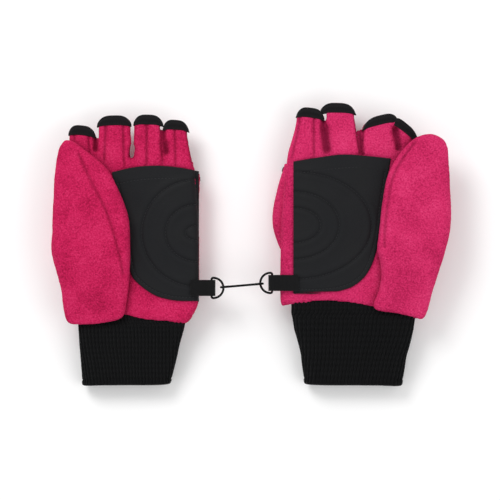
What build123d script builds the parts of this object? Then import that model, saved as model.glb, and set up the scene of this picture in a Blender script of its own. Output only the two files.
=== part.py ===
from build123d import *
import os
from dataclasses import dataclass
from math import atan2, cos, sin, sqrt

# A pair of convertible flip-top mittens, lying palm up and clipped together by a wire link.
# Each glove is a fleece half-finger glove with a grip patch on the palm and a rib-knit cuff. A mitten
# hood is sewn across the back of the hand, and lies folded back under the glove. A webbing tab in the
# side seam holds a D-ring, and the link hooks through both rings.
#
# Frame: +Z up from the surface that the pair lies on, +Y towards the fingertips, +X to the right.
# The origin is the middle of the pair's footprint.
# Glove coordinates: u runs from the middle of the wrist towards the thumb, v from the wrist seam
# towards the fingertips. Millimetres throughout.

# ---- cloth ----
FLEECE = 2.0  # one layer of fleece
KNIT = 2.0  # doubled rib knit
PATCH = 0.9  # grip patch
HEM = 0.6  # what the turned hem adds to the patch's top edge
FASTENER = 1.1  # each half of the hook-and-loop fastener
WEBBING = 1.1  # one layer of the side tab's webbing
EASE = 0.2  # clearance between pieces that slide past or lie on each other
LIP_ROUND = 0.4  # roundness of an open lip, as a share of the cloth's thickness

# ---- body of the glove ----
PALM_HALF = 53.0  # half the width across the palm
KNUCKLE_TAPER = 3.0  # what each side draws in by at the knuckles
WRIST_TAPER = 7.0  # and at the wrist
FLARE = 14.0  # length over which the wrist widens into the palm
BODY_LENGTH = 120.0  # wrist seam to the knuckle fold
BODY_HEIGHT = 11.5  # back to palm, outside, of the empty glove
BODY_ROUND = 5.0  # roundness of the sides
BODY_CORNER = 10.0  # radius of the outline's corners

# ---- rib cuff ----
CUFF_TUCK = 1.0  # the cuff's top is this much narrower than the wrist, each side
CUFF_TAPER = 7.0  # what each side draws in by at the hem
CUFF_HEM_HEIGHT = 18.0

# ---- fingers: name, middle at the root, width, length with its binding ----
FINGERS = (
    ("index", 40.4, 20.0, 38.0),
    ("middle", 15.4, 27.0, 45.0),
    ("ring", -12.4, 24.0, 46.0),
    ("little", -35.2, 20.0, 42.0),
)
BINDING_LENGTH = 8.0

# ---- thumb ----
THUMB_TIP = 146.0  # wrist seam to the thumb's tip
THUMB_OUTER = 66.0  # middle of the wrist to the thumb's outer edge
THUMB_WIDTH = 62.0
THUMB_HEIGHT = 12.0
THUMB_ROUND = 5.2
THUMB_BASE = 3.0  # v of the thumb's base
THUMB_HOLE = (27.0, 40.0)  # middle of the thumb hole in the palm
THUMB_HOLE_RADII = (13.0, 20.0)
THUMB_HOLE_LEAN = 0.25  # the hole moves by this share of the thumb's lean
THUMB_CORNER = 8.0  # radius of the outline's corners
# The thumb's outline: insets from its innermost and outermost lines, each at a share of the way to the tip.
THUMB_BASE_INSETS = (3.0, 16.0)
THUMB_INNER_SIDE = ((0.0, 0.35), (2.0, 0.55), (10.0, 0.76), (21.0, 0.88), (42.0, 1.0))
THUMB_OUTER_SIDE = ((5.0, 0.97), (2.0, 0.76), (0.0, 0.45), (8.0, 0.16))

# ---- grip patch ----
PATCH_BOTTOM = 17.0  # v of its lowest point
PATCH_INNER = 3.0  # u of its thumb-side edge beside the curve
PATCH_CURVE = 43.0  # height of the curved lower corner
PATCH_TOP = 127.0  # v of its free top edge
PATCH_TOP_INNER = 16.0  # u of its thumb-side edge at the top
HEM_WIDTH = 8.0

# ---- mitten hood ----
HOOD_MOUTH_OVER = 1.0  # how far its mouth stands out beyond the palm, each side
HOOD_OVER = 6.0  # the same at its widest
HOOD_TIP_TAPER = 16.0  # what each side of the tip draws in by, from the palm's width
HOOD_LENGTH = 96.0  # knuckle fold to the tip
HOOD_SHOULDER = 38.0  # length of the slanted shoulder beside the tip
HOOD_ROUND = 6.4
HOOD_CORNER = 13.0  # radius of the outline's corners
HOOD_LIP = 3.0  # the bound lip of the hood's palm side lies this far short of the fold
HOOD_BINDING = 4.0

# ---- hook-and-loop fastener ----
HOOK_SIZE = (30.0, 22.0)
LOOP_SIZE = (34.0, 26.0)
FASTENER_FROM_TIP = 20.0  # its middle from the hood's tip
FASTENER_CORNER = 3.0

# ---- side tab, D-ring and link ----
LEFT_TAB_V = 27.0  # middle of each tab from the wrist seam
RIGHT_TAB_V = 23.0
TAB_WIDTH = 12.8
TAB_REACH = 10.5  # side of the palm to the middle of the ring's bar
WIRE = 0.9  # radius of the D-ring's wire
RING_RADIUS = 8.1  # of the D-ring's bow, to the middle of its wire
RING_CORNER = 1.3
BAR_CLEARANCE = 0.12
ROD = 0.9  # radius of the link's rod
LINK_LENGTH = 29.7  # between the two rings' wires
HOOK_RADIUS = 2.9  # of the link's hooks, to the middle of the rod
HOOK_TAIL = 3.2
HOOK_CLEARANCE = 0.15

# ---- how the two gloves lie ----
LEFT_CUFF_LENGTH = 50.0  # each cuff as far as it is drawn out
RIGHT_CUFF_LENGTH = 58.0
STAGGER = 8.0  # the right-hand glove lies this much nearer the fingertips
RIGHT_THUMB_SPREAD = 14.0  # its thumb leans this much further outwards
LEFT_HOOD_SHIFT = 8.0  # the folded hood's tip leans off the middle, towards the thumb
RIGHT_HOOD_SHIFT = -5.0
LEFT_PATCH_INSET = 5.5  # side of the palm to the patch's outer edge, as the palm lies
RIGHT_PATCH_INSET = 9.5

# ---- widths that follow ----
KNUCKLE_HALF = PALM_HALF - KNUCKLE_TAPER
WRIST_HALF = PALM_HALF - WRIST_TAPER
CUFF_WRIST_WIDTH = 2 * (WRIST_HALF - CUFF_TUCK)
CUFF_HEM_WIDTH = CUFF_WRIST_WIDTH - 2 * CUFF_TAPER
HOOD_MOUTH_HALF = PALM_HALF + HOOD_MOUTH_OVER
HOOD_HALF = PALM_HALF + HOOD_OVER
HOOD_TIP_HALF = PALM_HALF - HOOD_TIP_TAPER

# ---- heights that follow ----
# Turned over the fingers, the hood has to clear the body, the patch and its hem.
HOOD_HEIGHT = BODY_HEIGHT + PATCH + HEM + EASE + FLEECE
FOLD_GAP = FASTENER + EASE / 2  # from the fold's axis to the back of the glove, and to the hood
FOLD_Z = HOOD_HEIGHT + FOLD_GAP
BACK_Z = FOLD_Z + FOLD_GAP
SEAM_Z = BACK_Z + BODY_HEIGHT / 2
PALM_Z = BACK_Z + BODY_HEIGHT
FINGER_BOTTOM = BACK_Z + FLEECE + 1.5 * EASE  # above the hood's back panel once it is turned over
FINGER_HEIGHT = PALM_Z - EASE - FINGER_BOTTOM
THUMB_Z = BACK_Z + HOOD_HEIGHT + 1.5 * EASE  # above the hood once it is turned over
HOOD_SEAM_Z = HOOD_HEIGHT / 2
HOOD_BACK_END = BODY_LENGTH - 2 * EASE  # the hood's back panel stops just short of the fold
PANEL_END = BODY_LENGTH - 1.5 * EASE  # where the palm and back end, and the fingers begin
FINGERTIP = PANEL_END + max(length for _, _, _, length in FINGERS)
TAB_Z = PALM_Z + WEBBING  # middle of the tab, the D-ring and the link
RING_DEPTH = RING_RADIUS + RING_CORNER
TRIM = 14.0  # outlines run this far past an open end before it is cut
PIECES_WIDE = 4 * PALM_HALF  # wider than any piece, for cutting boxes


@dataclass
class Glove:
    """Where one glove lies, and how. hand is -1 with the thumb towards -X, and +1 towards +X."""

    name: str
    hand: int
    x: float
    y: float
    cuff_length: float
    thumb_spread: float
    hood_shift: float
    patch_inset: float
    tab_v: float

    def at(self, u, v):
        return (self.x + self.hand * u, self.y + v)

    def patch_edge(self):
        """u of the patch's outer edge, which the tab comes out from."""
        return self.patch_inset - PALM_HALF

    def bar(self):
        """Middle of the D-ring's bar."""
        return self.at(-(PALM_HALF + TAB_REACH), self.tab_v)

    def bow(self):
        """Centre of the D-ring's bow."""
        return self.at(-(PALM_HALF + TAB_REACH + RING_CORNER), self.tab_v)


def laid_out():
    """The two gloves, placed so that the link is its own length and the pair is centred."""
    reach = PALM_HALF + TAB_REACH + RING_CORNER
    rise = STAGGER + RIGHT_TAB_V - LEFT_TAB_V
    bows_apart = sqrt((LINK_LENGTH + 2 * RING_RADIUS) ** 2 - rise**2)
    left_side = max(THUMB_OUTER, HOOD_HALF + LEFT_HOOD_SHIFT)
    right_side = max(THUMB_OUTER + RIGHT_THUMB_SPREAD, HOOD_HALF + RIGHT_HOOD_SHIFT)
    half_width = (left_side + reach + bows_apart + reach + right_side) / 2
    lowest = max(LEFT_CUFF_LENGTH, RIGHT_CUFF_LENGTH - STAGGER)
    half_length = (lowest + FINGERTIP + STAGGER) / 2
    left_y = lowest - half_length
    left = Glove(
        name="left",
        hand=-1,
        x=left_side - half_width,
        y=left_y,
        cuff_length=LEFT_CUFF_LENGTH,
        thumb_spread=0.0,
        hood_shift=LEFT_HOOD_SHIFT,
        patch_inset=LEFT_PATCH_INSET,
        tab_v=LEFT_TAB_V,
    )
    right = Glove(
        name="right",
        hand=1,
        x=half_width - right_side,
        y=left_y + STAGGER,
        cuff_length=RIGHT_CUFF_LENGTH,
        thumb_spread=RIGHT_THUMB_SPREAD,
        hood_shift=RIGHT_HOOD_SHIFT,
        patch_inset=RIGHT_PATCH_INSET,
        tab_v=RIGHT_TAB_V,
    )
    return left, right


def pillow(corners, corner_radius, bottom, height, edge_round, inset=0.0):
    """A soft closed form: a rounded outline with height and rounded edges. inset shrinks it all round."""
    with BuildPart() as form:
        with BuildSketch(Plane.XY.offset(bottom + inset)):
            with BuildLine():
                FilletPolyline(*corners, radius=corner_radius, close=True)
            make_face()
            if inset:
                offset(amount=-inset, mode=Mode.REPLACE)
        extrude(amount=height - 2 * inset)
        flats = form.faces().filter_by(Axis.Z).sort_by(Axis.Z)
        fillet(flats[0].edges() + flats[-1].edges(), radius=edge_round - inset)
    return form.part


def shell(corners, corner_radius, bottom, height, edge_round):
    """A pillow of one layer of fleece, hollow inside."""
    outside = pillow(corners, corner_radius, bottom, height, edge_round)
    inside = pillow(corners, corner_radius, bottom, height, edge_round, FLEECE)
    with BuildPart() as skin:
        add(outside)
        add(inside, mode=Mode.SUBTRACT)
    return skin.part


def between(glove, v_low, v_high, z_low, z_high):
    """A box across the glove, for keeping the stretch of a shell that one panel takes."""
    x, y = glove.at(0, (v_low + v_high) / 2)
    with BuildPart() as room:
        with Locations((x, y, (z_low + z_high) / 2)):
            Box(PIECES_WIDE, v_high - v_low, z_high - z_low)
    return room.part


def body_shell(glove):
    """The hand's pocket before it is divided into palm and back, open at wrist and knuckles."""
    top = BODY_LENGTH + TRIM
    corners = [(WRIST_HALF, -TRIM), (WRIST_HALF, 0), (PALM_HALF, FLARE), (KNUCKLE_HALF, top)]
    corners += [(-u, v) for u, v in reversed(corners)]
    return shell([glove.at(u, v) for u, v in corners], BODY_CORNER, BACK_Z, BODY_HEIGHT, BODY_ROUND)


def palm_panel(glove):
    """Palm side of the fleece, with the thumb hole."""
    whole = body_shell(glove)
    palm_half = between(glove, 0, PANEL_END, SEAM_Z, PALM_Z)
    with BuildPart() as panel:
        add(whole)
        add(palm_half, mode=Mode.INTERSECT)
        with BuildSketch(Plane.XY.offset(SEAM_Z)):
            with Locations(thumb_hole(glove)):
                Ellipse(*THUMB_HOLE_RADII)
        extrude(amount=BODY_HEIGHT, mode=Mode.SUBTRACT)
    return panel


def back_panel(glove):
    """Back of the hand in fleece."""
    whole = body_shell(glove)
    back_half = between(glove, 0, PANEL_END, BACK_Z, SEAM_Z)
    with BuildPart() as panel:
        add(whole)
        add(back_half, mode=Mode.INTERSECT)
    return panel


def thumb_corners(glove):
    """Outline of the thumb where it lies over the palm, from its base at the wrist to its tip."""
    outer = THUMB_OUTER + glove.thumb_spread
    inner = outer - THUMB_WIDTH
    base_inner, base_outer = THUMB_BASE_INSETS
    corners = [(inner + base_inner, THUMB_BASE)]
    corners += [(inner + inset, share * THUMB_TIP) for inset, share in THUMB_INNER_SIDE]
    corners += [(outer - inset, share * THUMB_TIP) for inset, share in THUMB_OUTER_SIDE]
    corners.append((outer - base_outer, THUMB_BASE))
    return [glove.at(u, v) for u, v in corners]


def thumb_hole(glove):
    """Middle of the thumb hole, which moves a little with the thumb's lean."""
    return glove.at(THUMB_HOLE[0] + THUMB_HOLE_LEAN * glove.thumb_spread, THUMB_HOLE[1])


def thumb_shell(glove):
    return shell(thumb_corners(glove), THUMB_CORNER, THUMB_Z, THUMB_HEIGHT, THUMB_ROUND)


def thumb_front_panel(glove):
    """Upper half of the thumb."""
    middle = THUMB_Z + THUMB_HEIGHT / 2
    whole = thumb_shell(glove)
    upper_half = between(glove, -TRIM, THUMB_TIP + TRIM, middle, middle + THUMB_HEIGHT)
    with BuildPart() as panel:
        add(whole)
        add(upper_half, mode=Mode.INTERSECT)
    return panel


def thumb_back_panel(glove):
    """Lower half of the thumb, open where the gusset joins it to the palm."""
    middle = THUMB_Z + THUMB_HEIGHT / 2
    whole = thumb_shell(glove)
    lower_half = between(glove, -TRIM, THUMB_TIP + TRIM, middle - THUMB_HEIGHT, middle)
    with BuildPart() as panel:
        add(whole)
        add(lower_half, mode=Mode.INTERSECT)
        with BuildSketch(Plane.XY.offset(THUMB_Z)):
            with Locations(thumb_hole(glove)):
                Ellipse(*THUMB_HOLE_RADII)
        extrude(amount=THUMB_HEIGHT, mode=Mode.SUBTRACT)
    return panel


def thumb_gusset(glove):
    """Ring of fleece that joins the thumb hole in the palm to the thumb."""
    with BuildPart() as ring:
        with BuildSketch(Plane.XY.offset(PALM_Z)):
            with Locations(thumb_hole(glove)):
                Ellipse(THUMB_HOLE_RADII[0] + FLEECE, THUMB_HOLE_RADII[1] + FLEECE)
                Ellipse(*THUMB_HOLE_RADII, mode=Mode.SUBTRACT)
        extrude(amount=THUMB_Z - PALM_Z)
    return ring


def across(glove, u, v, z):
    """Plane across a finger or the wrist: it faces the fingertips, its x along the glove's width."""
    x, y = glove.at(u, v)
    return Plane(origin=(x, y, z), x_dir=(-1, 0, 0), z_dir=(0, 1, 0))


def finger(glove, middle, width, length):
    """Half-length finger: an open fleece tube."""
    with BuildPart() as tube:
        with BuildSketch(across(glove, middle, PANEL_END, FINGER_BOTTOM + FINGER_HEIGHT / 2)):
            SlotOverall(width, FINGER_HEIGHT)
            SlotOverall(width - 2 * FLEECE, FINGER_HEIGHT - 2 * FLEECE, mode=Mode.SUBTRACT)
        extrude(amount=length - BINDING_LENGTH)
    return tube


def finger_binding(glove, middle, width, length):
    """Knit edging round the finger's open end, with a rounded lip."""
    with BuildPart() as ring:
        v = PANEL_END + length - BINDING_LENGTH
        with BuildSketch(across(glove, middle, v, FINGER_BOTTOM + FINGER_HEIGHT / 2)):
            SlotOverall(width, FINGER_HEIGHT)
            SlotOverall(width - 2 * FLEECE, FINGER_HEIGHT - 2 * FLEECE, mode=Mode.SUBTRACT)
        extrude(amount=BINDING_LENGTH)
        fillet(ring.faces().sort_by(Axis.Y)[-1].edges(), radius=LIP_ROUND * FLEECE)
    return ring


def rib_cuff(glove):
    """Rib-knit tube from the wrist seam. It narrows and droops to its folded hem on the surface."""
    wrist = across(glove, 0, 0, SEAM_Z)
    hem = across(glove, 0, -glove.cuff_length, CUFF_HEM_HEIGHT / 2)
    with BuildPart() as hollow:
        with BuildSketch(wrist):
            SlotOverall(CUFF_WRIST_WIDTH - 2 * KNIT, BODY_HEIGHT - 2 * KNIT)
        with BuildSketch(hem):
            SlotOverall(CUFF_HEM_WIDTH - 2 * KNIT, CUFF_HEM_HEIGHT - 2 * KNIT)
        loft()
    with BuildPart() as cuff:
        with BuildSketch(wrist):
            SlotOverall(CUFF_WRIST_WIDTH, BODY_HEIGHT)
        with BuildSketch(hem):
            SlotOverall(CUFF_HEM_WIDTH, CUFF_HEM_HEIGHT)
        loft()
        add(hollow.part, mode=Mode.SUBTRACT)
        fillet(cuff.faces().sort_by(Axis.Y)[0].edges(), radius=LIP_ROUND * KNIT)
    return cuff


def palm_patch(glove):
    """Grip patch on the palm. Its lower corner is a quarter ellipse, and its top edge is hemmed."""
    outer = glove.patch_edge()
    curve_top = PATCH_BOTTOM + PATCH_CURVE
    with BuildPart() as patch:
        with BuildSketch(Plane.XY.offset(PALM_Z)):
            with BuildLine():
                EllipticalCenterArc(
                    center=glove.at(outer, curve_top),
                    x_radius=PATCH_INNER - outer,
                    y_radius=PATCH_CURVE,
                    start_angle=270 if glove.hand > 0 else 180,
                    arc_size=90,
                )
                Polyline(
                    glove.at(PATCH_INNER, curve_top),
                    glove.at(PATCH_TOP_INNER, PATCH_TOP),
                    glove.at(outer, PATCH_TOP),
                    glove.at(outer, PATCH_BOTTOM),
                )
            make_face()
        extrude(amount=PATCH)
        hem_inner = PATCH_TOP_INNER - (PATCH_TOP_INNER - PATCH_INNER) * HEM_WIDTH / (PATCH_TOP - curve_top)
        with BuildSketch(Plane.XY.offset(PALM_Z + PATCH)):
            with Locations(glove.at((hem_inner + outer) / 2, PATCH_TOP - HEM_WIDTH / 2)):
                Rectangle(hem_inner - outer, HEM_WIDTH)
        extrude(amount=HEM)
    return patch


def hood_shell(glove):
    """The mitten hood before it is divided, open at the fingers."""
    tip = BODY_LENGTH - HOOD_LENGTH
    top = BODY_LENGTH + TRIM
    half = [(HOOD_MOUTH_HALF, top, 0), (HOOD_HALF, tip + HOOD_SHOULDER, 1), (HOOD_TIP_HALF, tip, 1)]
    one_side = [(u + lean * glove.hood_shift, v) for u, v, lean in half]
    other_side = [(lean * glove.hood_shift - u, v) for u, v, lean in reversed(half)]
    points = [glove.at(u, v) for u, v in one_side + other_side]
    return shell(points, HOOD_CORNER, 0, HOOD_HEIGHT, HOOD_ROUND)


def hood_part(glove, v_low, v_high, z_low, z_high):
    whole = hood_shell(glove)
    room = between(glove, v_low, v_high, z_low, z_high)
    with BuildPart() as piece:
        add(whole)
        add(room, mode=Mode.INTERSECT)
    return piece


def hood_back_panel(glove):
    """The side of the hood that joins the back of the hand. Folded back, it lies against it."""
    return hood_part(glove, 0, HOOD_BACK_END, HOOD_SEAM_Z, HOOD_HEIGHT)


def hood_palm_panel(glove):
    """The side of the hood that covers the palm side of the fingers. Folded back, it lies lowest."""
    return hood_part(glove, 0, BODY_LENGTH - HOOD_LIP - HOOD_BINDING, 0, HOOD_SEAM_Z)


def hood_binding(glove):
    """Knit edging on the hood's palm side, round its mouth."""
    lip = BODY_LENGTH - HOOD_LIP
    return hood_part(glove, lip - HOOD_BINDING, lip, 0, HOOD_SEAM_Z)


def fastener(glove, size, bottom):
    v = BODY_LENGTH - HOOD_LENGTH + FASTENER_FROM_TIP
    with BuildPart() as pad:
        with BuildSketch(Plane.XY.offset(bottom)):
            with Locations(glove.at(glove.hood_shift, v)):
                RectangleRounded(*size, FASTENER_CORNER)
        extrude(amount=FASTENER)
    return pad


def hook_patch(glove):
    """Hook half of the fastener, on the hood near its tip."""
    return fastener(glove, HOOK_SIZE, HOOD_HEIGHT)


def loop_patch(glove):
    """Loop half of the fastener, on the back of the glove."""
    return fastener(glove, LOOP_SIZE, BACK_Z - FASTENER)


def side_tab(glove):
    """Webbing folded round the D-ring's bar, its two ends sewn down beside the patch's outer edge."""
    x, y = glove.bar()
    root_x, _ = glove.at(glove.patch_edge(), glove.tab_v)
    eye = WIRE + BAR_CLEARANCE
    with BuildPart() as tab:
        with BuildSketch(Plane(origin=(x, y + TAB_WIDTH / 2, TAB_Z), x_dir=(1, 0, 0), z_dir=(0, -1, 0))):
            Circle(eye + WEBBING)
            with Locations(((root_x - x) / 2, 0)):
                Rectangle(abs(root_x - x), 2 * WEBBING)
            Circle(eye, mode=Mode.SUBTRACT)
        extrude(amount=TAB_WIDTH)
    return tab


def d_ring(glove):
    """Wire ring: a straight bar, two small corners and a round bow."""
    x, y = glove.bar()
    away = -glove.hand
    half_bar = RING_RADIUS - RING_CORNER
    corner = RING_CORNER * (1 - sqrt(0.5))
    with BuildPart() as ring:
        with BuildLine() as path:
            Line((x, y - half_bar, TAB_Z), (x, y + half_bar, TAB_Z))
            ThreePointArc(
                (x, y + half_bar, TAB_Z),
                (x + away * corner, y + RING_RADIUS - corner, TAB_Z),
                (x + away * RING_CORNER, y + RING_RADIUS, TAB_Z),
            )
            ThreePointArc(
                (x + away * RING_CORNER, y + RING_RADIUS, TAB_Z),
                (x + away * RING_DEPTH, y, TAB_Z),
                (x + away * RING_CORNER, y - RING_RADIUS, TAB_Z),
            )
            ThreePointArc(
                (x + away * RING_CORNER, y - RING_RADIUS, TAB_Z),
                (x + away * corner, y - RING_RADIUS + corner, TAB_Z),
                (x, y - half_bar, TAB_Z),
            )
        with BuildSketch(Plane(origin=(x, y, TAB_Z), x_dir=(1, 0, 0), z_dir=(0, 1, 0))):
            Circle(WIRE)
        sweep(path=path.line)
    return ring


def hook_points(left, right):
    """Where the link crosses each ring's wire, and its heading in radians from +X."""
    (left_x, left_y), (right_x, right_y) = left.bow(), right.bow()
    heading = atan2(right_y - left_y, right_x - left_x)
    step = (RING_RADIUS * cos(heading), RING_RADIUS * sin(heading))
    left_wire = (left_x + step[0], left_y + step[1], TAB_Z)
    right_wire = (right_x - step[0], right_y - step[1], TAB_Z)
    return left_wire, right_wire, heading


def ring_link(left, right):
    """Wire link with a hook at each end. Each hook goes over a ring's wire and back beneath it."""
    left_wire, _, heading = hook_points(left, right)
    away = HOOK_RADIUS - ROD - WIRE - HOOK_CLEARANCE  # hook's centre from the wire it pulls on
    start, end = away, LINK_LENGTH - away
    ahead, sideways = (cos(heading), sin(heading), 0), (sin(heading), -cos(heading), 0)
    along = Plane(origin=left_wire, x_dir=ahead, z_dir=sideways)
    with BuildPart() as link:
        with BuildLine(along) as path:
            Line((start + HOOK_TAIL, -HOOK_RADIUS), (start, -HOOK_RADIUS))
            ThreePointArc((start, -HOOK_RADIUS), (start - HOOK_RADIUS, 0), (start, HOOK_RADIUS))
            Line((start, HOOK_RADIUS), (end, HOOK_RADIUS))
            ThreePointArc((end, HOOK_RADIUS), (end + HOOK_RADIUS, 0), (end, -HOOK_RADIUS))
            Line((end, -HOOK_RADIUS), (end - HOOK_TAIL, -HOOK_RADIUS))
        with BuildSketch(Plane(origin=path.line @ 0, z_dir=path.line % 0)):
            Circle(ROD)
        sweep(path=path.line)
        with Locations(path.line @ 0, path.line @ 1):
            Sphere(ROD)
    return link


def glove_parts(glove):
    """Every sub-part of one glove, by name."""
    parts = {
        "palm_panel": palm_panel(glove),
        "back_panel": back_panel(glove),
        "thumb_front_panel": thumb_front_panel(glove),
        "thumb_back_panel": thumb_back_panel(glove),
        "thumb_gusset": thumb_gusset(glove),
        "rib_cuff": rib_cuff(glove),
        "palm_patch": palm_patch(glove),
        "hood_back_panel": hood_back_panel(glove),
        "hood_palm_panel": hood_palm_panel(glove),
        "hood_binding": hood_binding(glove),
        "hook_patch": hook_patch(glove),
        "loop_patch": loop_patch(glove),
        "side_tab": side_tab(glove),
        "d_ring": d_ring(glove),
    }
    for name, middle, width, length in FINGERS:
        parts[f"{name}_finger"] = finger(glove, middle, width, length)
        parts[f"{name}_binding"] = finger_binding(glove, middle, width, length)
    return parts


def main():
    os.makedirs("parts", exist_ok=True)
    left, right = laid_out()
    parts = {"ring_link": ring_link(left, right)}
    for glove in (left, right):
        for name, piece in glove_parts(glove).items():
            parts[f"{glove.name}_{name}"] = piece
    for name, piece in parts.items():
        piece.part.label = name
        export_step(piece.part, f"parts/{name}.step")
    print(len(parts), "sub-parts written")


if __name__ == "__main__":
    main()
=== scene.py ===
"""The looks of a pair of convertible flip-top mittens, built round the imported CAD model.

Everything soft is worked out in a glove's own millimetres: u from the middle of the wrist towards the
thumb, v from the wrist seam towards the fingertips, z up. Closed fleece forms are signed distances on
a grid, turned into quads. Knit, webbing, patch and stitches are laid out directly on those forms.
"""

from math import pi, radians

import bpy
import numpy as np
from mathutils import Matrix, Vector


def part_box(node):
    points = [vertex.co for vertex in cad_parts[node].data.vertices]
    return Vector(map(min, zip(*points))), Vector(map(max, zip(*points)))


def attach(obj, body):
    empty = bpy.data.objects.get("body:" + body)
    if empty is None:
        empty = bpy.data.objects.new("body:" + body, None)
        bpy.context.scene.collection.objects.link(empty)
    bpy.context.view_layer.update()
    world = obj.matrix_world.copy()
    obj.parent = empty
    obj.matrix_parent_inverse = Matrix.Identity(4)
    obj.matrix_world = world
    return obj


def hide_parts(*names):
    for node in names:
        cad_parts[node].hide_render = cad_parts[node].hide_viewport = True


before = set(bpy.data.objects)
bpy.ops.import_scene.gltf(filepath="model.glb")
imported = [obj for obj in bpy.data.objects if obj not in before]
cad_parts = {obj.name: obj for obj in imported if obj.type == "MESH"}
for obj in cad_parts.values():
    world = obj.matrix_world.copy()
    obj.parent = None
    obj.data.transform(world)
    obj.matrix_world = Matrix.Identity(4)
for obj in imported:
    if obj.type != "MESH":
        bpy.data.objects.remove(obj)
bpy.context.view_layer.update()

MM = 0.001
GRID = 0.9  # spacing of the grid that fleece forms are worked out on
COARSE = 1.15  # the same for the hoods
WALL = 2.0  # thickness of one layer of fleece
FLEECE_EDGE = 5.6  # roundness of the glove's sides
DEEP_HOLLOW = 3.2  # hollows deeper than this get a web of fleece underneath
BINDING = 8.0  # length of the knit edging on a finger
KNUCKLES = 120.0  # v of the knuckle fold, past which the hood has to close over the cloth
HOOD_WALL = 1.6  # thickness of the hood's fleece
HOOD_EDGE = 6.8  # roundness of the hood's sides
HOOD_LIFT = 0.15  # gap between the hood and the surface it lies on
SLACK = 0.6  # a finger lies this much higher than its solid, clear of the hood once that is turned over
PROUD = 0.55  # how far knit edging stands out of the fleece
SEAM_RIDGE = 1.62  # radius of the sewn ridge the hood turns on


# ---------------------------------------------------------------- numbers and curves

def lattice(seed):
    """Random values on a lattice that repeats, for value noise."""
    return np.random.default_rng(seed).uniform(-1, 1, (32, 32, 32)).astype(np.float32)


LATTICE = lattice(7)


def noise(u, v, z, size):
    """Smooth noise from -1 to 1 with lumps of the given size."""
    values = 0.0
    parts = []
    for axis in (u, v, z):
        place = axis / size + 1000.0
        whole = np.floor(place).astype(int)
        rest = place - whole
        parts.append((whole % 32, (whole + 1) % 32, rest * rest * (3 - 2 * rest)))
    (u0, u1, fu), (v0, v1, fv), (z0, z1, fz) = parts
    for ui, wu in ((u0, 1 - fu), (u1, fu)):
        for vi, wv in ((v0, 1 - fv), (v1, fv)):
            for zi, wz in ((z0, 1 - fz), (z1, fz)):
                values = values + LATTICE[ui, vi, zi] * wu * wv * wz
    return values


def step_up(x, low, high):
    """0 below low, 1 above high, and smooth between."""
    t = np.clip((x - low) / (high - low), 0, 1)
    return t * t * (3 - 2 * t)


def smooth_curve(points, closed=False, per_span=8):
    """Catmull-Rom curve through the points."""
    p = np.array(points, float)
    if closed:
        p = np.vstack([p[-1], p, p[0], p[1]])
    else:
        p = np.vstack([2 * p[0] - p[1], p, 2 * p[-1] - p[-2]])
    t = np.linspace(0, 1, per_span, endpoint=False)[:, None]
    spans = []
    for a, b, c, d in zip(p[:-3], p[1:-2], p[2:-1], p[3:]):
        bend, twist = 2 * a - 5 * b + 4 * c - d, 3 * b - a - 3 * c + d
        spans.append(0.5 * (2 * b + (c - a) * t + bend * t**2 + twist * t**3))
    if not closed:
        spans.append(p[-2:-1])
    return np.vstack(spans)


def distance_to(curve, u, v, closed=False):
    """Distance in the plane from each (u, v) to a curve. Inside a closed curve it is negative."""
    ends = np.roll(curve, -1, axis=0) if closed else curve[1:]
    starts = curve if closed else curve[:-1]
    nearest = np.full(np.broadcast(u, v).shape, 1e9)
    inside = np.zeros(nearest.shape, bool)
    for (u0, v0), (u1, v1) in zip(starts, ends):
        du, dv = u1 - u0, v1 - v0
        t = np.clip(((u - u0) * du + (v - v0) * dv) / max(du * du + dv * dv, 1e-9), 0, 1)
        nearest = np.minimum(nearest, (u - u0 - t * du) ** 2 + (v - v0 - t * dv) ** 2)
        if closed and dv:
            crosses = ((v0 > v) != (v1 > v)) & (u < (v - v0) * du / dv + u0)
            inside ^= crosses
    nearest = np.sqrt(nearest)
    return np.where(inside, -nearest, nearest) if closed else nearest


def melt(a, b, size):
    """Union of two distances with a soft crease of the given size."""
    h = np.clip(0.5 + 0.5 * (b - a) / size, 0, 1)
    return b + (a - b) * h - size * h * (1 - h)


def pillow(outline, z, middle, height, edge):
    """Distance to a form with rounded edges that stands over an outline."""
    side = outline + edge
    rise = np.abs(z - middle) - (height / 2 - edge)
    outer = np.sqrt(np.maximum(side, 0) ** 2 + np.maximum(rise, 0) ** 2)
    return outer + np.minimum(np.maximum(side, rise), 0) - edge


# ---------------------------------------------------------------- from distances to meshes

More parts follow.
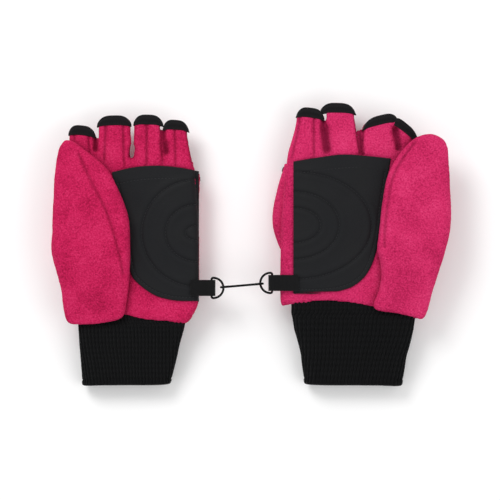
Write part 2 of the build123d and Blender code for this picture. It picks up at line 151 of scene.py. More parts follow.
class Grid:
    """Points on a regular grid, in a glove's millimetres."""

    def __init__(self, low, high, step):
        self.low, self.step = np.array(low, float), step
        counts = [int((b - a) / step) + 2 for a, b in zip(low, high)]
        axes = [a + step * np.arange(n) for a, n in zip(low, counts)]
        self.u = axes[0][:, None, None]
        self.v = axes[1][None, :, None]
        self.z = axes[2][None, None, :]

    def surface(self, field):
        """Quads round the places where the field is negative: one point in each cell it crosses."""
        field = np.ascontiguousarray(np.broadcast_to(field, (self.u.size, self.v.size, self.z.size)))
        full = field < 0
        corners = [(i, j, k) for i in (0, 1) for j in (0, 1) for k in (0, 1)]
        shape = np.array(field.shape) - 1

        def shifted(a, c):
            return a[c[0]:c[0] + shape[0], c[1]:c[1] + shape[1], c[2]:c[2] + shape[2]]

        count = sum(shifted(full, c).astype(np.int8) for c in corners)
        cells = np.argwhere((count > 0) & (count < 8))
        values = np.stack([field[tuple((cells + c).T)] for c in corners], axis=1)
        total = np.zeros((len(cells), 3))
        hits = np.zeros(len(cells))
        for a, ca in enumerate(corners):
            for b, cb in enumerate(corners):
                if b > a and sum(abs(np.subtract(ca, cb))) == 1:
                    crosses = (values[:, a] < 0) != (values[:, b] < 0)
                    t = np.where(crosses, values[:, a] / np.where(crosses, values[:, a] - values[:, b], 1), 0)
                    place = np.array(ca) + t[:, None] * np.subtract(cb, ca)
                    total += np.where(crosses[:, None], place, 0)
                    hits += crosses
        points = self.low + self.step * (cells + total / hits[:, None])
        number = np.full(shape, -1)
        number[tuple(cells.T)] = np.arange(len(cells))
        faces = []
        for axis in range(3):
            along = np.eye(3, dtype=int)[axis]
            first, second = np.eye(3, dtype=int)[(axis + 1) % 3], np.eye(3, dtype=int)[(axis + 2) % 3]
            near = full[tuple(slice(0, n - a) for n, a in zip(full.shape, along))]
            far = full[tuple(slice(a, n) for n, a in zip(full.shape, along))]
            for starts_full in (True, False):
                edges = np.argwhere((near != far) & (near == starts_full))
                quad = [edges - first - second, edges - second, edges, edges - first]
                if not starts_full:
                    quad.reverse()
                ids = np.stack([number[tuple(q.T)] for q in quad], axis=1)
                faces.append(ids)
        return points, np.vstack(faces)


def settle(points, faces, rounds=2):
    """Evens out a surface that came off a grid."""
    for _ in range(rounds):
        total = np.zeros_like(points)
        count = np.zeros(len(points))
        for k in range(4):
            a, b = faces[:, k], faces[:, (k + 1) % 4]
            for to, of in ((a, b), (b, a)):
                np.add.at(total, to, points[of])
                np.add.at(count, to, 1)
        points = 0.5 * points + 0.5 * total / count[:, None]
    return points


def normals_of(points, faces):
    """Normal at each point."""
    a, b, c, d = (points[faces[:, k]] for k in range(4))
    across = np.cross(c - a, d - b)
    total = np.zeros_like(points)
    for k in range(4):
        np.add.at(total, faces[:, k], across)
    return total / np.maximum(np.linalg.norm(total, axis=1), 1e-9)[:, None]


def pile(points, faces, height=0.22):
    """Raises the small soft clumps of brushed fleece."""
    normal = normals_of(points, faces)
    u, v, z = points.T
    lift = noise(u, v, z, 2.3) * 0.4 + noise(u + 50, v, z, 1.4) * 0.5 + noise(u, v + 90, z, 7.0) * 0.7
    return points + normal * (height * lift)[:, None]


# ---------------------------------------------------------------- a glove's place

class Glove:
    """One glove's place and its main levels, from the CAD model, and its outlines as it lies."""

    def __init__(self, name, hand, shape):
        self.name, self.hand, self.shape = name, hand, shape
        low, high = self.box("palm_panel")
        self.x = (low[0] + high[0]) / 2
        self.y = low[1]
        self.knuckle = high[1] - low[1]
        self.palm_z = high[2]
        self.back_z = self.box("back_panel")[0][2]
        self.middle = (self.palm_z + self.back_z) / 2
        self.height = self.palm_z - self.back_z
        self.wrist_middle = shape["cuff"][0][0]
        self.body = f"{name}_glove"
        self.hood = f"{name}_hood"

    def box(self, piece):
        """Lowest and highest corners of one of this glove's CAD nodes, in millimetres."""
        low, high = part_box(f"{self.name}_{piece}")
        return np.array(low) / MM, np.array(high) / MM

    def place(self, points):
        """Glove coordinates to the frame's metres."""
        u, v, z = np.asarray(points, float).T
        return np.stack([self.x + self.hand * u, self.y + v, z], axis=1) * MM

    def add(self, name, points, faces, material, body=None, slot=None, replaces=(), uv=None, shade=None):
        """A mesh object of this glove, riding on its body."""
        faces = [list(f) for f in faces]
        if self.hand < 0:
            faces = [f[::-1] for f in faces]
        mesh = bpy.data.meshes.new(f"{self.name}_{name}")
        mesh.from_pydata(self.place(points).tolist(), [], faces)
        mesh.validate()
        if uv is not None:
            layer = mesh.uv_layers.new(name="UVMap")
            spots = np.zeros(len(mesh.loops), int)
            mesh.loops.foreach_get("vertex_index", spots)
            layer.data.foreach_set("uv", np.asarray(uv, float)[spots].ravel())
        if shade is not None:
            mesh.attributes.new("shade", "FLOAT", "POINT").data.foreach_set("value", np.clip(shade, 0, 1))
        mesh.polygons.foreach_set("use_smooth", [True] * len(mesh.polygons))
        piece = bpy.data.objects.new(f"{self.name}_{name}", mesh)
        bpy.context.scene.collection.objects.link(piece)
        piece.data.materials.append(material)
        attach(piece, body or self.body)
        if replaces:
            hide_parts(*[f"{self.name}_{node}" for node in replaces])
        return piece


# Outlines of each glove as it lies, in its own millimetres. Fingers are: name, middle and width at the
# root, middle and width at the tip, v of the tip, slope of its open end, how far it sinks, and where its
# seams run, as shares of its half width. Hollows between fingers are: two ends, depth and width. The cuff
# is: middle, width, and the share of its length from the wrist.
LEFT = dict(
    body=[(44, -2), (51, 8), (52, 40), (51, 80), (48, 111), (30, 119.4), (-30, 119.4), (-48, 117),
          (-52.6, 88), (-53.4, 50), (-53, 18), (-49, 6), (-42, -1.5), (-25, -1), (-6, 0.5), (9, 4), (24, -0.5)],
    fingers=(("index", 40, 26, 40.6, 21, 157.2, 0.1, 0.25, (-0.5, 0.6)),
             ("middle", 15.2, 31.5, 14.8, 26.6, 165.2, -0.02, 0.0, (-0.55, 0.5)),
             ("ring", -12.6, 25.6, -12.6, 23, 165.8, 0.03, 0.2, (0.1, -0.9)),
             ("little", -37.2, 27, -34.6, 20, 161.6, 0.08, 0.2, (0.15, -0.85))),
    hollows=(((-24.4, 159), (-24.8, 146), 3.4, 1.3), ((-25.4, 143), (-26.6, 136.5), 4.2, 2.4),
             ((30.2, 156), (29.6, 138), 3.6, 1.5), ((0.4, 139), (1.4, 133), 2.6, 1.8)),
    thumb=[(8, 3.5), (4.5, 15), (1.6, 41), (1.8, 75), (4.8, 91), (12.3, 109), (20.3, 123), (35.4, 135.5),
           (48.6, 144.6), (55.6, 142), (59.6, 130), (62, 106), (63.4, 66), (61.2, 45), (56.6, 26), (54.8, 10),
           (51, -1), (38, -2.2), (22, -0.8)],
    thumb_seam=[(41.6, 133), (33.9, 115.7), (19.9, 87.7), (12.1, 62.9), (7.2, 41), (5.6, 22)],
    patch_top=[(-53.2, 120.5), (-40, 123.6), (-26.7, 124.8), (-5, 123.5), (16.5, 119.5)],
    patch_inner=[(16.5, 119.5), (9, 85), (4.5, 55), (1.2, 38.4), (-5.1, 30.1), (-17.5, 21.4), (-30, 17.6),
                 (-42, 16.3), (-53.2, 16)],
    patch_outer=-53.2,
    hood=[(-53.5, 119.2), (-52.5, 90), (-51, 60), (-44, 38), (-31, 30.6), (6, 30.2), (46, 30.6), (60, 37),
          (66.3, 52), (66.6, 68), (62.5, 88), (55.5, 119.2)],
    cuff=[(1.6, 85.5, 0), (2.2, 82, 0.25), (3.6, 77, 0.6), (5.2, 71, 1)],
)
RIGHT = dict(
    body=[(55, -5), (57, 10), (54, 40), (52, 80), (49, 111), (30, 119.4), (-34, 119.4), (-50, 117.6),
          (-55, 85), (-56.5, 52), (-57, 15), (-55.5, 5), (-49, 5.5), (-19, 7), (9, 4), (38, -2.5)],
    fingers=(("index", 40, 25, 44, 20, 151.0, -0.8, 0.3, (0.6,)),
             ("middle", 17.5, 31, 23.4, 27, 157.4, 0.25, 0.0, (-0.85,)),
             ("ring", -4.8, 28.5, -10.9, 27.2, 167.2, -0.03, 0.0, (0.9,)),
             ("little", -36.0, 32.5, -32.6, 21.6, 163.4, -0.12, 0.2, (-0.75, 0.35))),
    hollows=(((-22.8, 161), (-22.0, 148), 3.6, 1.5), ((-21.4, 147), (-19.4, 130), 4.2, 2.6),
             ((35.6, 146), (38.3, 131), 4.2, 2.3), ((7.0, 144), (8.6, 126), 3.6, 1.6)),
    thumb=[(18, 3), (22.5, 20), (23.4, 35), (20.4, 50), (22.2, 66.4), (24.6, 88.5), (28.5, 109),
           (37.9, 126.2), (50.6, 138.6), (64.3, 141.5), (75, 134), (77.2, 114), (79, 74.5), (75, 50.5),
           (65.5, 19), (58.4, -4.5), (48, -3.8), (36, -1.2)],
    thumb_seam=[(50, 135), (41, 123), (32.5, 107), (28.6, 89), (26, 68), (25.5, 52)],
    patch_top=[(-44.9, 120.2), (-25.5, 123.3), (3, 125.7), (18, 124.6), (31.5, 122.5)],
    patch_inner=[(31.5, 122.5), (26, 85), (20.4, 50.5), (13.3, 31.8), (3, 21.4), (-9.6, 16.6), (-25.5, 14.6),
                 (-36, 14.6), (-46.8, 15.7)],
    patch_outer=-46.4,
    hood=[(-53.2, 119.2), (-58.5, 101), (-62.8, 80), (-61.8, 65), (-55.5, 48), (-45, 34), (-33, 30.4),
          (-4, 30.2), (26, 30.6), (42, 38), (53, 56), (58.6, 88), (57, 119.2)],
    cuff=[(1.5, 99, 0), (1.6, 95, 0.25), (2.2, 85, 0.6), (2.6, 79, 1)],
)


# ---------------------------------------------------------------- materials

def rgb(red, green, blue):
    """A screen colour, 0 to 255, as the linear colour that shaders take."""
    shares = (red / 255, green / 255, blue / 255)
    return tuple(((c + 0.055) / 1.055) ** 2.4 if c > 0.0404 else c / 12.92 for c in shares) + (1,)


def grey(value):
    """A plain value as a colour."""
    return (value, value, value, 1)


class Nodes:
    """A short way to write a material's nodes."""

    def __init__(self, name):
        self.material = bpy.data.materials.new(name)
        self.material.use_nodes = True
        self.tree = self.material.node_tree
        self.shader = self.tree.nodes["Principled BSDF"]
        self.place = self.add("ShaderNodeTexCoord").outputs

    def add(self, kind, inputs=None, **settings):
        node = self.tree.nodes.new(kind)
        for key, value in settings.items():
            setattr(node, key, value)
        for key, value in (inputs or {}).items():
            self.set(node.inputs[key], value)
        return node

    def set(self, socket, value):
        if isinstance(value, bpy.types.NodeSocket):
            self.tree.links.new(value, socket)
        else:
            socket.default_value = value

    def noise(self, scale, detail=3.0, rough=0.55, where=None):
        where = where or self.place["Object"]
        inputs = {"Scale": scale, "Detail": detail, "Roughness": rough, "Vector": where}
        return self.add("ShaderNodeTexNoise", inputs).outputs["Fac"]

    def cells(self, scale, where=None):
        inputs = {"Scale": scale, "Vector": where or self.place["Object"]}
        return self.add("ShaderNodeTexVoronoi", inputs).outputs["Distance"]

    def wave(self, scale, direction, where, kind="BANDS", distort=0.0):
        inputs = {"Scale": scale, "Distortion": distort, "Detail": 1.0, "Vector": where}
        return self.add("ShaderNodeTexWave", inputs, wave_type=kind, bands_direction=direction).outputs["Fac"]

    def math(self, operation, a, b=0.5):
        return self.add("ShaderNodeMath", {0: a, 1: b}, operation=operation).outputs[0]

    def ramp(self, value, stops):
        node = self.add("ShaderNodeValToRGB", {"Fac": value})
        elements = node.color_ramp.elements
        while len(elements) < len(stops):
            elements.new(0.5)
        for element, (position, colour) in zip(elements, stops):
            element.position, element.color = position, colour
        return node.outputs["Color"]

    def mix(self, amount, a, b, blend="MIX"):
        node = self.add("ShaderNodeMix", data_type="RGBA", blend_type=blend)
        self.set(node.inputs[0], amount)
        self.set(node.inputs[6], a)
        self.set(node.inputs[7], b)
        return node.outputs[2]

    def bump(self, height, strength, distance, under=None):
        inputs = {"Height": height, "Strength": strength, "Distance": distance}
        if under is not None:
            inputs["Normal"] = under
        return self.add("ShaderNodeBump", inputs).outputs["Normal"]

    def finish(self, colour, roughness, normal=None, **sockets):
        self.set(self.shader.inputs["Base Color"], colour)
        self.set(self.shader.inputs["Roughness"], roughness)
        if normal is not None:
            self.set(self.shader.inputs["Normal"], normal)
        for key, value in sockets.items():
            self.shader.inputs[key.replace("_", " ")].default_value = value
        return self.material


def fleece(name, deep, middle, bright):
    """Brushed fleece: small clumps of pile, darker between them, with painted shade where the mesh's shade
    attribute is high.
    """
    n = Nodes(name)
    clumps = n.noise(760, 5, 0.62)
    nubs = n.cells(820)
    broad = n.noise(45, 2, 0.5)
    tone = n.math("ADD", n.math("MULTIPLY", clumps, 0.7), n.math("MULTIPLY", broad, 0.35))
    tone = n.math("SUBTRACT", tone, n.math("MULTIPLY", nubs, 0.16))
    colour = n.ramp(tone, ((0.22, deep), (0.46, middle), (0.7, bright)))
    # painted shade: the mesh's shade attribute mixes the fleece towards a dark pink in hollows, along seams and
    # beside the thumb and patch
    crease = n.add("ShaderNodeAttribute", attribute_name="shade").outputs["Fac"]
    colour = n.mix(n.math("MULTIPLY", crease, 0.8), colour, tuple(c * 0.32 for c in deep[:3]) + (1,))
    fibres = n.noise(1700, 3, 0.7)
    under = n.bump(clumps, 0.8, 0.0009)
    normal = n.bump(n.math("SUBTRACT", fibres, nubs), 0.45, 0.0005, under)
    roughness = n.ramp(fibres, ((0.2, grey(0.82)), (0.8, grey(1.0))))
    return n.finish(colour, roughness, normal, Sheen_Weight=0.12, Sheen_Roughness=0.45,
                    Sheen_Tint=bright, Specular_IOR_Level=0.08)


def grip_fabric():
    """Dense charcoal fabric with a fine pebbled face."""
    n = Nodes("grip_fabric")
    grain = n.noise(1500, 3, 0.65)
    pebbles = n.cells(1250)
    broad = n.noise(32, 3, 0.5)
    tone = n.math("ADD", n.math("MULTIPLY", grain, 0.5), n.math("MULTIPLY", broad, 0.5))
    colour = n.ramp(tone, ((0.3, rgb(11, 12, 14)), (0.52, rgb(16, 17, 20)), (0.75, rgb(23, 25, 28))))
    roughness = n.ramp(broad, ((0.3, grey(0.62)), (0.7, grey(0.78))))
    normal = n.bump(pebbles, 0.35, 0.00035, n.bump(grain, 0.4, 0.0003))
    return n.finish(colour, roughness, normal, Sheen_Weight=0.03, Sheen_Roughness=0.4,
                    Specular_IOR_Level=0.22)


def knit(name, dark, light, across, along):
    """Knit in rows of small Vs. The mesh's UV runs once round and once along."""
    n = Nodes(name)
    split = n.add("ShaderNodeSeparateXYZ", {0: n.place["UV"]})
    column = n.math("FRACT", n.math("MULTIPLY", split.outputs["X"], across))
    lean = n.math("ABSOLUTE", n.math("SUBTRACT", column, 0.5))
    row = n.math("ADD", n.math("MULTIPLY", split.outputs["Y"], along), n.math("MULTIPLY", lean, 1.1))
    loops = n.math("SINE", n.math("MULTIPLY", n.math("FRACT", row), pi))
    valley = n.math("SINE", n.math("MULTIPLY", n.math("FRACT", n.math("MULTIPLY", column, 2.0)), pi))
    height = n.math("MULTIPLY", loops, n.math("POWER", valley, 0.6))
    hairs = n.noise(2200, 3, 0.7)
    colour = n.mix(n.math("MULTIPLY", height, 0.8), dark, light)
    colour = n.mix(n.math("MULTIPLY", hairs, 0.35), colour, light)
    normal = n.bump(hairs, 0.3, 0.0003, n.bump(height, 0.8, 0.0007))
    return n.finish(colour, 0.92, normal, Sheen_Weight=0.03, Sheen_Roughness=0.6, Specular_IOR_Level=0.1)


def webbing():
    """Black woven tape, its yarns crossing over and under."""
    n = Nodes("webbing_weave")
    split = n.add("ShaderNodeSeparateXYZ", {0: n.place["UV"]})
    along = n.math("MULTIPLY", split.outputs["X"], 26.0)
    across = n.math("MULTIPLY", split.outputs["Y"], 18.0)
    odd = n.math("MODULO", n.math("FLOOR", along), 2.0)
    shifted = n.math("ADD", across, n.math("MULTIPLY", odd, 0.5))
    yarn = n.math("SINE", n.math("MULTIPLY", n.math("FRACT", shifted), pi))
    thread = n.math("SINE", n.math("MULTIPLY", n.math("FRACT", along), pi))
    height = n.math("MULTIPLY", yarn, thread)
    colour = n.mix(height, rgb(5, 5, 6), rgb(21, 21, 23))
    normal = n.bump(n.noise(2500, 2, 0.6), 0.2, 0.0002, n.bump(height, 0.9, 0.0005))
    return n.finish(colour, 0.75, normal, Sheen_Weight=0.03, Specular_IOR_Level=0.18)


def thread(name, colour):
    """Sewing thread, twisted."""
    n = Nodes(name)
    twist = n.wave(900, "DIAGONAL", n.place["Object"], distort=1.0)
    tone = n.mix(twist, tuple(c * 0.6 for c in colour[:3]) + (1,), colour)
    return n.finish(tone, 0.55, n.bump(twist, 0.5, 0.0002), Specular_IOR_Level=0.4)


def wire():
    """Black lacquered wire, a little worn where it rubs."""
    n = Nodes("lacquered_wire")
    wear = n.noise(420, 4, 0.65)
    colour = n.ramp(wear, ((0.55, rgb(3, 3, 4)), (0.72, rgb(8, 8, 10)), (0.88, rgb(36, 36, 40))))
    roughness = n.ramp(n.noise(1300, 2, 0.5), ((0.3, grey(0.24)), (0.7, grey(0.42))))
    return n.finish(colour, roughness, n.bump(wear, 0.12, 0.0002), Coat_Weight=0.04, Coat_Roughness=0.3,
                    Specular_IOR_Level=0.12)


def tape(name, hooks):
    """Hook or loop tape."""
    n = Nodes(name)
    tufts = n.cells(900 if hooks else 600)
    fuzz = n.noise(2000, 3, 0.7)
    colour = n.mix(tufts, rgb(44, 44, 47), rgb(18, 18, 20))
    normal = n.bump(fuzz, 0.5, 0.0004, n.bump(tufts, 0.9, 0.0008))
    return n.finish(colour, 0.55 if hooks else 0.9, normal, Specular_IOR_Level=0.4 if hooks else 0.2)


FLEECE = {
    -1: fleece("raspberry_fleece_left", rgb(138, 10, 50), rgb(195, 31, 84), rgb(222, 60, 112)),
    1: fleece("raspberry_fleece_right", rgb(150, 16, 62), rgb(204, 42, 97), rgb(230, 72, 126)),
}
GRIP = grip_fabric()
RIB = knit("rib_knit", rgb(3, 3, 4), rgb(12, 13, 15), 150, 26)
EDGING = knit("edging_knit", rgb(9, 9, 10), rgb(36, 34, 37), 46, 6)
WEBBING = webbing()
BLACK_THREAD = thread("black_thread", rgb(34, 34, 38))
HOOD_EDGING = knit("hood_edging_knit", rgb(9, 9, 10), rgb(32, 31, 34), 90, 7)
HOOKS = tape("hook_tape", True)
LOOPS = tape("loop_tape", False)
WIRE = wire()


# ---------------------------------------------------------------- fleece forms

def lie(u, v):
    """How the empty cloth rises and falls where it lies, in millimetres."""
    calm = 1 - 0.7 * step_up(v, KNUCKLES - 18, KNUCKLES - 2)
    return (0.45 * noise(u, v, 0 * u, 34.0) + 0.3 * noise(u + 200, v, 0 * u, 15.0)) * calm


def finger_line(finger, v, knuckle):
    """A finger's middle and width at each v."""
    _, root, root_width, tip, tip_width, end = finger[:6]
    t = np.clip((v - (knuckle - 20)) / (end - knuckle + 20), 0, 1.1)
    return root + (tip - root) * t**1.6, root_width + (tip_width - root_width) * step_up(t, 0.3, 0.85)


def finger_end(finger, x, width):
    """v of a finger's open end at x from its middle: it leans, and its corners are rounded off."""
    end, slope = finger[5:7]
    return end + slope * x - 5.5 * np.clip(np.abs(x) / (width / 2), 0, 1.1) ** 3.4


def palm_level(glove, u, v):
    """Height of the palm's top surface."""
    outline = smooth_curve(glove.shape["body"], closed=True)
    edge = FLEECE_EDGE
    side = np.clip(distance_to(outline, u, v, closed=True) + edge, 0, edge)
    return glove.middle + glove.height / 2 - edge + np.sqrt(edge**2 - side**2) + lie(u, v)


def glove_shell(glove):
    """Palm, back and the four finger tubes as one sewn layer of fleece, open at wrist and fingertips."""
    shape = glove.shape
    grid = Grid((-62, -9, glove.back_z - 3), (62, 170, glove.palm_z + 3), GRID)
    flat_u, flat_v = grid.u[:, :, 0], grid.v[:, :, 0]
    outline = distance_to(smooth_curve(shape["body"], closed=True), flat_u, flat_v, closed=True)[:, :, None]
    z = grid.z - lie(flat_u, flat_v)[:, :, None]
    field = pillow(outline, z, glove.middle, glove.height, FLEECE_EDGE)
    tube_low, tube_high = glove.box("middle_finger")
    tube_low[2] += SLACK
    tall = tube_high[2] - tube_low[2]
    ends = np.full(field.shape, -1e3)
    cover = np.vstack([smooth_curve(shape["patch_inner"]), smooth_curve(shape["patch_top"])])
    pressed = step_up(-distance_to(cover, flat_u, flat_v, closed=True), 0.8, 3.0)[:, :, None]
    field = field + 0.95 * pressed * step_up(grid.z, glove.middle, glove.middle + 2)
    for finger in shape["fingers"]:
        sink, seams = finger[7:]
        middle, width = finger_line(finger, grid.v, glove.knuckle)
        level = (tube_low[2] + tube_high[2]) / 2 - sink * step_up(grid.v, glove.knuckle, glove.knuckle + 20)
        x = grid.u - middle
        flat = np.maximum(np.abs(x) - (width - tall) / 2, 0)
        tube = np.sqrt(flat**2 + (z - level) ** 2) - tall / 2
        for seam in seams:
            fade = step_up(grid.v, glove.knuckle - 6, glove.knuckle + 6)
            off = x - seam * width / 2
            crease = np.exp(-(off**2)) + 0.4 * np.exp(-((off / 3.0) ** 2))
            tube = tube + 1.25 * crease * fade
        tube = np.maximum(tube, glove.knuckle - 22 - grid.v)
        trim = grid.v + 1.0 - finger_end(finger, x, width)
        ends = np.where(tube < 3.0, np.maximum(ends, trim), ends)
        field = melt(field, tube, 2.4)
    flat_mouth = np.maximum(np.abs(grid.u - glove.wrist_middle) - 33, 0)
    mouth = np.sqrt(flat_mouth**2 + (grid.z - glove.middle) ** 2) - glove.height / 2 + WALL + 0.6
    mouth = np.maximum(mouth, grid.v - 14)
    for start, end, depth, width in shape["hollows"]:
        away = distance_to(np.array([start, end], float), flat_u, flat_v)[:, :, None]
        field = field + depth * np.exp(-((away / width) ** 2))
        if depth > DEEP_HOLLOW:
            web = np.maximum(np.abs(grid.z - tube_low[2] - 2.4) - 1.2, away - 1.6 * width)
            field = melt(field, web, 0.8)
    hollow = -(field + WALL)
    field = np.maximum(np.maximum(field, hollow), -mouth)
    field = np.maximum(field, np.where(grid.v > glove.knuckle + 6, ends, -1e3))
    points, faces = grid.surface(field)
    points = settle(points, faces)
    # painted shade for the fleece's hollows and seams and beside the thumb and patch, kept as the mesh's shade
    # attribute
    shade = painted_crease_shade(glove, points)
    points = pile(points, faces)
    replaced = ["palm_panel", "back_panel", "thumb_gusset"] + [f"{f[0]}_finger" for f in shape["fingers"]]
    glove.add("fleece_glove", points, faces, FLEECE[glove.hand], slot="pink_fleece", shade=shade,
              replaces=replaced)


def painted_crease_shade(glove, points):
    """Painted shade on each point of the glove's fleece, from 0 to 1: darker in the hollows between fingers and
    along the finger seams, and on the top beside the thumb and the patch, where they cast shadow.
    """
    shape = glove.shape
    u, v, z = points.T
    total = np.zeros(len(points))
    for start, end, _, width in shape["hollows"]:
        away = distance_to(np.array([start, end], float), u, v)
        total = np.maximum(total, np.exp(-((away / (1.25 * width)) ** 2)))
    fade = step_up(v, glove.knuckle - 4, glove.knuckle + 8)
    for finger in shape["fingers"]:
        middle, width = finger_line(finger, v, glove.knuckle)
        x = u - middle
        for seam in finger[8]:
            crease = np.exp(-((x - seam * width / 2) ** 2)) * (np.abs(x) < width / 2)
            total = np.maximum(total, 0.6 * fade * crease)
    top = z > glove.middle
    thumb_edge = distance_to(smooth_curve(shape["thumb"], closed=True), u, v, closed=True)
    total = np.maximum(total, 0.55 * np.exp(-np.maximum(thumb_edge, 0) / 2.6) * top)
    cover = np.vstack([smooth_curve(shape["patch_inner"]), smooth_curve(shape["patch_top"])])
    patch_edge = distance_to(cover, u, v, closed=True)
    return np.maximum(total, 0.5 * np.exp(-np.maximum(patch_edge, 0) / 1.3) * top)


def thumb(glove):
    """Full thumb, lying over the palm and sewn to it at its base."""
    shape = glove.shape
    low, high = glove.box("thumb_back_panel")[0][2], glove.box("thumb_front_panel")[1][2]
    grid = Grid((-3, -7, glove.palm_z - 4), (84, 150, high + 3), GRID)
    flat_u, flat_v = grid.u[:, :, 0], grid.v[:, :, 0]
    outline = distance_to(smooth_curve(shape["thumb"], closed=True), flat_u, flat_v, closed=True)
    bottom = glove.palm_z - 1.6 + (low + 0.2 - glove.palm_z + 1.6) * step_up(flat_v, 88, 108)
    top = glove.palm_z + 3.5 + (high - 0.6 - glove.palm_z - 3.5) * step_up(flat_v, -20, 62)
    top = top + 0.7 * noise(flat_u, flat_v, 0 * flat_u, 22.0) - 0.5
    seam = distance_to(smooth_curve(shape["thumb_seam"]), flat_u, flat_v)
    top = top - 1.5 * np.exp(-((seam / 1.0) ** 2)) - 1.0 * np.exp(-((seam / 4.5) ** 2))
    height = (top - bottom)[:, :, None]
    middle = ((top + bottom) / 2)[:, :, None]
    edge = np.minimum(6.6, height / 2 - 0.1)
    field = pillow(outline[:, :, None], grid.z, middle, height, edge)
    points, faces = grid.surface(field)
    points = settle(points, faces)
    seam = distance_to(smooth_curve(shape["thumb_seam"]), points[:, 0], points[:, 1])
    # painted shade along the thumb's seam, on its top side only
    shade = 0.5 * np.exp(-((seam / 1.1) ** 2)) * (points[:, 2] > (low + high) / 2)
    points = pile(points, faces)
    return glove.add("fleece_thumb", points, faces, FLEECE[glove.hand], slot="pink_fleece", shade=shade,
                     replaces=("thumb_front_panel", "thumb_back_panel"))


def hood(glove):
    """The mitten hood: a pocket of fleece, its mouth open towards the fingers."""
    high = glove.box("hood_back_panel")[1]
    lip = glove.box("hood_binding")[1][1] - glove.y
    fold = glove.box("hood_back_panel")[1][1] - glove.y
    grid = Grid((-68, 26, -1.5), (72, 123, high[2] + 1.5), COARSE)
    flat_u, flat_v = grid.u[:, :, 0], grid.v[:, :, 0]
    points = glove.shape["hood"]
    mouth = [(points[-1][0], fold + 16), (points[0][0], fold + 16)]
    outline = distance_to(smooth_curve(points + mouth, closed=True), flat_u, flat_v, closed=True)[:, :, None]
    wave = 0.5 * noise(flat_u, flat_v, 0 * flat_u, 26.0)[:, :, None]
    height = high[2] - 0.3
    top = high[2] - 0.3 + 0.25 * wave
    field = pillow(outline, grid.z, (top + HOOD_LIFT) / 2, top - HOOD_LIFT, HOOD_EDGE)
    field = np.maximum(field, -(field + HOOD_WALL))
    seam_z = height / 2
    mouth_line = np.where(grid.z > seam_z, fold - 0.2, lip - 1.0)
    field = np.maximum(field, grid.v - mouth_line)
    points, faces = grid.surface(field)
    points = pile(settle(points, faces), faces, 0.18)
    return glove.add("fleece_hood", points, faces, FLEECE[glove.hand], body=glove.hood, slot="pink_fleece",
                     replaces=("hood_back_panel", "hood_palm_panel"))


def knuckle_seam(glove):
    """The sewn ridge that joins the hood to the back of the glove, along the line the hood turns on."""
    fold, level = glove.knuckle, (glove.box("hood_back_panel")[1][2] + glove.back_z) / 2
    grid = Grid((-52, fold - 4, level - 3.5), (52, fold + 4, level + 3.5), 0.6)
    reach = np.maximum(np.abs(grid.u) - 46.5, 0)
    pucker = 0.14 * np.sin(grid.u * 2.1) + 0.1 * noise(grid.u, 0 * grid.u, 0 * grid.u, 5.0)
    field = np.sqrt(reach**2 + (grid.v - fold) ** 2 + (grid.z - level) ** 2) - (SEAM_RIDGE + pucker)
    points, faces = grid.surface(field)
    return glove.add("knuckle_seam", settle(points, faces), faces, FLEECE[glove.hand], slot="pink_fleece")


# ---------------------------------------------------------------- sheets, tubes and stitches

def strip_faces(rows, columns, closed=False):
    """Quads between points laid out row by row."""
    last = columns if closed else columns - 1
    faces = []
    for r in range(rows - 1):
        near, far = r * columns, (r + 1) * columns
        for c in range(last):
            ahead = (c + 1) % columns
            faces.append((near + c, near + ahead, far + ahead, far + c))
    return faces


def strip_uv(rows, columns):
    """UV that runs once across the columns and once along the rows."""
    return [(c / columns, r / max(rows - 1, 1)) for r in range(rows) for c in range(columns)]


def side_walls(rows, columns, beneath):
    """Quads round the rim of a laid-out sheet, down to its copy, whose points come that many later."""
    rim = [r * columns for r in range(rows)] + [(rows - 1) * columns + c for c in range(1, columns)]
    rim += [r * columns + columns - 1 for r in range(rows - 2, -1, -1)] + list(range(columns - 2, 0, -1))
    return [(a, b, b + beneath, a + beneath) for a, b in zip(rim, rim[1:] + rim[:1])]


def slot_ring(width, tall, count):
    """Points round a section with flat top and bottom and round ends, and their outward directions."""
    radius = tall / 2
    flat = max(width / 2 - radius, 0.01)
    angle = np.linspace(0, 2 * pi, count, endpoint=False)
    length = 4 * flat + 2 * pi * radius
    travel = angle / (2 * pi) * length
    points, outward = [], []
    for s in travel:
        if s < 2 * flat:
            points.append((flat - s, radius))
            outward.append((0, 1))
        elif s < 2 * flat + pi * radius:
            a = pi / 2 + (s - 2 * flat) / radius
            points.append((-flat + radius * np.cos(a), radius * np.sin(a)))
            outward.append((np.cos(a), np.sin(a)))
        elif s < 4 * flat + pi * radius:
            points.append((-flat + (s - 2 * flat - pi * radius), -radius))
            outward.append((0, -1))
        else:
            a = -pi / 2 + (s - 4 * flat - pi * radius) / radius
            points.append((flat + radius * np.cos(a), radius * np.sin(a)))
            outward.append((np.cos(a), np.sin(a)))
    return np.array(points), np.array(outward)


